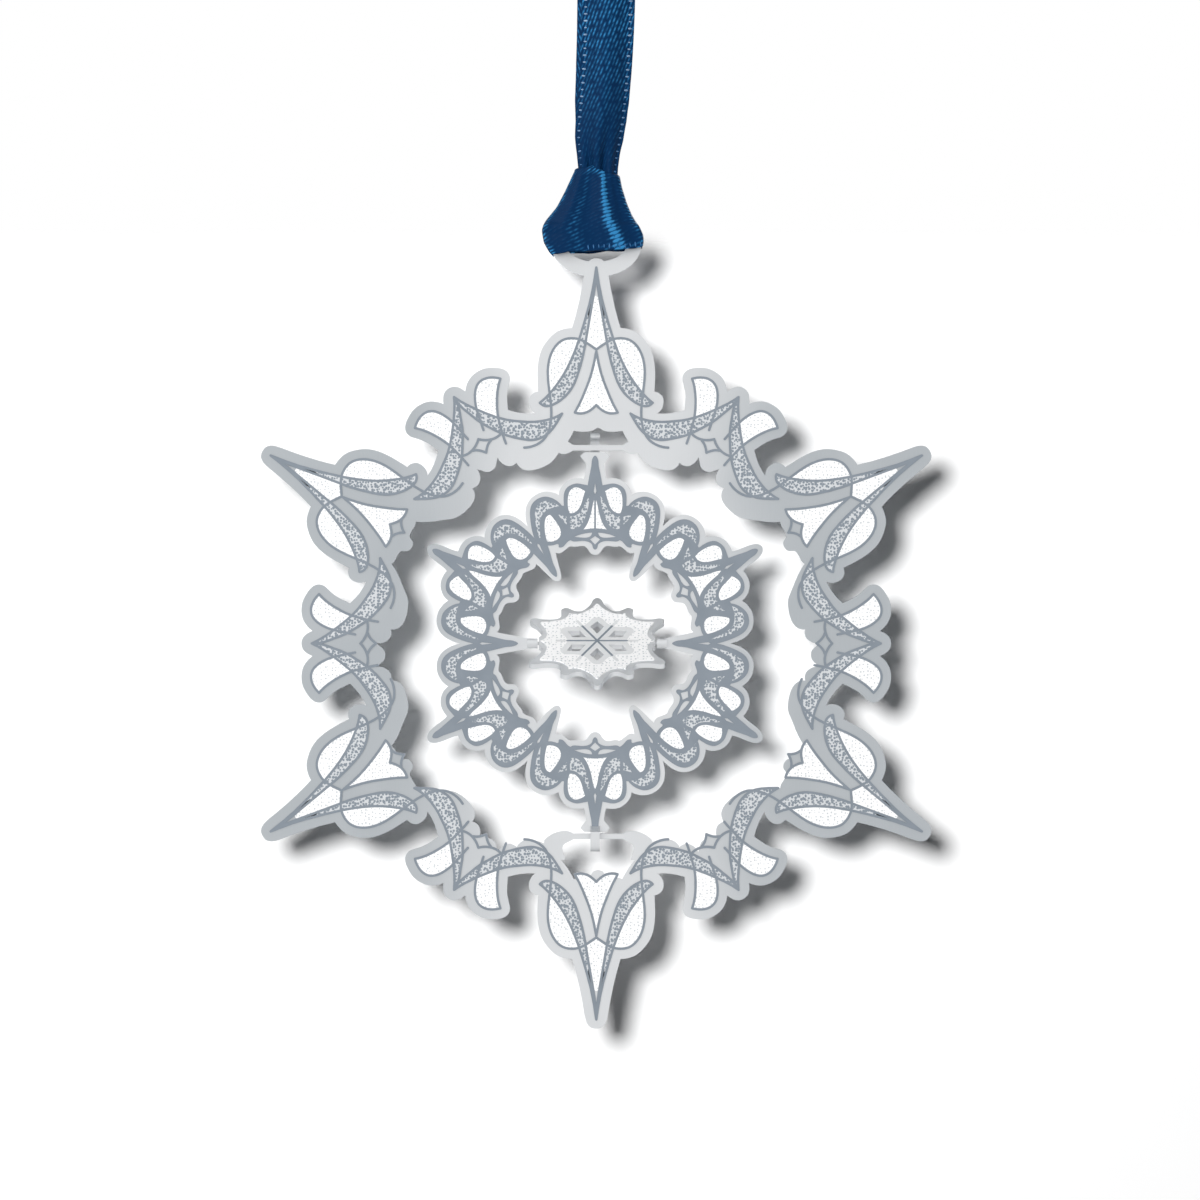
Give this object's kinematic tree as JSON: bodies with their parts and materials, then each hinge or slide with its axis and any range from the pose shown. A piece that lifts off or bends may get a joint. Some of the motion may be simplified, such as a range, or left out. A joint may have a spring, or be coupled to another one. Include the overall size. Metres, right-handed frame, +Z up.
{
  "type": "hanging snowflake ornament",
  "caption": "Flat etched metal snowflake with a smaller snowflake turning in its opening and a tilting star at the middle, hung on a satin ribbon loop.",
  "frame": {"origin": "the inside of the ribbon loop's top, where the loop hangs on a hook or twig", "axes": "+Z up, -Y out of the decorated faces, X across the snowflake"},
  "size_m": [0.0738, 0.0144, 0.1273],
  "materials": {
    "satin_ribbon": "woven satin with stitched selvages",
    "etched_steel": "bright, finely grained silver sheet",
    "grey_enamel": "semi-gloss blue-grey enamel",
    "white_enamel": "glossy white enamel with fine grey specks",
    "stippled_enamel": "pale grey enamel stippled with dark dots",
    "pale_grey_enamel": "semi-gloss pale grey enamel",
    "pin_wire": "drawn stainless wire"
  },
  "bodies": {
    "ribbon": {"ribbon_loop": "satin_ribbon", "ribbon_hitch": "satin_ribbon"},
    "outer_snowflake": {"outer_plate": "etched_steel", "outer_line_enamel": "grey_enamel", "outer_white_enamel": "white_enamel", "outer_stippled_bands": "stippled_enamel"},
    "middle_snowflake": {"middle_plate": "etched_steel", "middle_dark_enamel": "grey_enamel", "middle_white_enamel": "white_enamel", "middle_stippled_bands": "stippled_enamel"},
    "star": {"star_plate": "etched_steel", "star_white_enamel": "white_enamel", "star_grey_figure": "pale_grey_enamel", "star_dark_spokes": "grey_enamel", "star_pivot_pins": "pin_wire"}
  },
  "joints": [
    {"name": "swing_in_ribbon", "type": "hinge", "parent": "ribbon", "child": "outer_snowflake", "pos_m": [0, 0, -0.03974], "axis": [1, 0, 0], "range_deg": [-25, 25]},
    {"name": "middle_turns_on_bars", "type": "hinge", "parent": "outer_snowflake", "child": "middle_snowflake", "pos_m": [-0.00013, 0, -0.0847], "axis": [0, 0, 1], "range_deg": [-30, 30]},
    {"name": "star_turns_on_pins", "type": "hinge", "parent": "middle_snowflake", "child": "star", "pos_m": [0.0001, 0, -0.0847], "axis": [1, 0, 0], "continuous": true}
  ]
}
